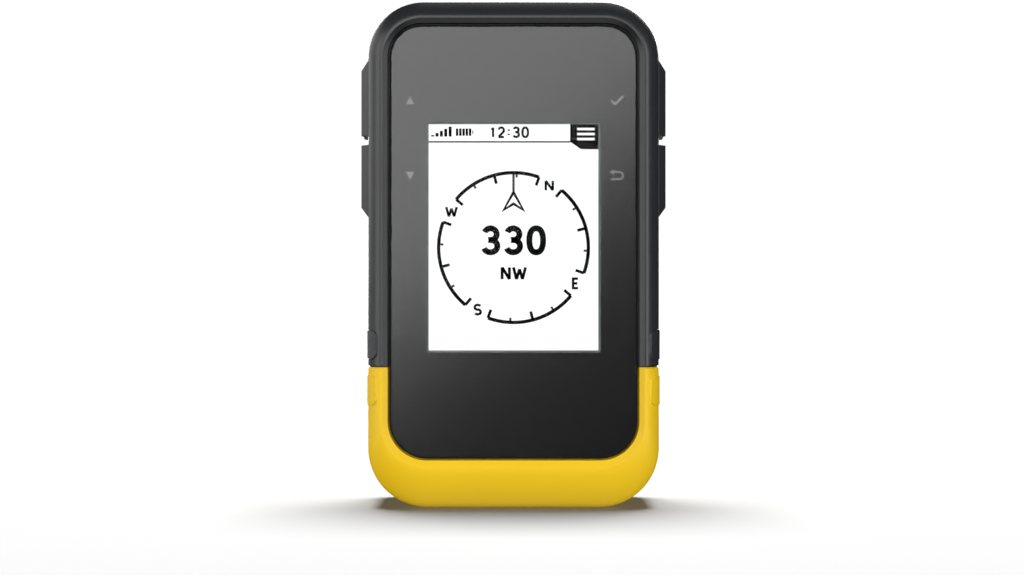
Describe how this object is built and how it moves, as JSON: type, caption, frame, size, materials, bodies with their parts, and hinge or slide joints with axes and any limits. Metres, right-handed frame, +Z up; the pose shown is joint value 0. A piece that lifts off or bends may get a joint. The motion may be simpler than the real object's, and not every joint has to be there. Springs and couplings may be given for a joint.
{
  "type": "handheld gps unit",
  "caption": "Pocket satellite navigator with a tall framed display, side keys, a two-tone shell, a battery door with a ring latch and a mounting spine.",
  "frame": {"origin": "centre of the footprint, at the height that the unit stands on", "axes": "+Z up along the unit's length, -Y the way the display faces, +X to the right of a viewer who faces the display"},
  "size_m": [0.0616, 0.033, 0.1016],
  "materials": {
    "charcoal_housing": "moulded charcoal polycarbonate blend, fine spark-eroded texture",
    "yellow_cover": "moulded warm yellow polycarbonate blend, fine texture",
    "seal_rubber": "black silicone cord",
    "lens_glass": "hardened cover glass, low-glare",
    "mask_print": "black screen print on the back of the lens",
    "adhesive_foam": "black foam tape",
    "lcd_glass": "liquid crystal cell behind its polariser",
    "light_guide": "clear acrylic light guide with white film",
    "sheet_steel": "folded tin-plated sheet steel",
    "flex_film": "polyimide film with copper tracks",
    "circuit_board": "glass fibre board with green solder mask",
    "chip_resin": "black moulded epoxy",
    "antenna_ceramic": "fired patch antenna with silver face",
    "key_rubber": "charcoal silicone rubber key",
    "socket_steel": "nickel-plated drawn steel",
    "screw_steel": "zinc-plated steel",
    "cap_rubber": "charcoal silicone rubber",
    "tray_plastic": "black moulded nylon",
    "contact_steel": "nickel-plated spring steel",
    "cell_steel": "nickel-plated steel can",
    "cell_paste": "packed battery paste, sealed in",
    "cell_sleeve": "shrunk plastic sleeve",
    "latch_steel": "cast stainless steel",
    "ring_steel": "polished stainless wire",
    "insert_brass": "knurled brass"
  },
  "bodies": {
    "unit": {"front_housing": "charcoal_housing", "rear_housing": "charcoal_housing", "lower_front_cover": "yellow_cover", "lower_rear_cover": "yellow_cover", "housing_seal": "seal_rubber", "door_seal": "seal_rubber", "display_lens": "lens_glass", "lens_mask": "mask_print", "lens_adhesive": "adhesive_foam", "lcd_cell": "lcd_glass", "lcd_backlight": "light_guide", "lcd_frame": "sheet_steel", "lcd_flex": "flex_film", "usb_flex": "flex_film", "main_board": "circuit_board", "usb_board": "circuit_board", "board_chips": "chip_resin", "shield_cans": "sheet_steel", "gnss_antenna": "antenna_ceramic", "key_switches": "chip_resin", "usb_socket": "socket_steel", "usb_screws": "screw_steel", "board_screws": "screw_steel", "case_screws": "screw_steel", "cap_anchor": "cap_rubber", "battery_tray": "tray_plastic", "battery_contacts": "contact_steel", "battery_springs": "contact_steel", "battery_cans": "cell_steel", "battery_fills": "cell_paste", "battery_jackets": "cell_sleeve", "case_inserts": "insert_brass", "lanyard_pin": "ring_steel"},
    "up_key": {"up_key": "key_rubber"},
    "down_key": {"down_key": "key_rubber"},
    "select_key": {"select_key": "key_rubber"},
    "back_key": {"back_key": "key_rubber"},
    "power_key": {"power_key": "key_rubber"},
    "weather_cap": {"weather_cap": "cap_rubber"},
    "battery_door": {"battery_door": "charcoal_housing"},
    "door_latch": {"door_latch": "latch_steel"},
    "d_ring": {"d_ring": "ring_steel"}
  },
  "joints": [
    {"name": "up_key_press", "type": "slide", "parent": "unit", "child": "up_key", "axis": [1, 0, 0], "range_m": [0, 0.0006], "stiffness_N_per_m": 1500},
    {"name": "down_key_press", "type": "slide", "parent": "unit", "child": "down_key", "axis": [1, 0, 0], "range_m": [0, 0.0006], "stiffness_N_per_m": 1500},
    {"name": "select_key_press", "type": "slide", "parent": "unit", "child": "select_key", "axis": [-1, 0, 0], "range_m": [0, 0.0006], "stiffness_N_per_m": 1500},
    {"name": "back_key_press", "type": "slide", "parent": "unit", "child": "back_key", "axis": [-1, 0, 0], "range_m": [0, 0.0006], "stiffness_N_per_m": 1500},
    {"name": "power_key_press", "type": "slide", "parent": "unit", "child": "power_key", "axis": [1, 0, 0], "range_m": [0, 0.0004], "stiffness_N_per_m": 1500},
    {"name": "cap_hinge", "type": "hinge", "parent": "unit", "child": "weather_cap", "pos_m": [0, 0.0143, 0.0812], "axis": [-1, 0, 0], "range_deg": [0, 110]},
    {"name": "door_lift", "type": "slide", "parent": "unit", "child": "battery_door", "axis": [0, 1, 0], "range_m": [0, 0.025]},
    {"name": "latch_turn", "type": "hinge", "parent": "battery_door", "child": "door_latch", "pos_m": [0, 0.013, 0.0126], "axis": [0, 1, 0], "range_deg": [0, 90]},
    {"name": "ring_fold", "type": "hinge", "parent": "door_latch", "child": "d_ring", "pos_m": [0, 0.01525, 0.0162], "axis": [1, 0, 0], "range_deg": [0, 90]}
  ]
}
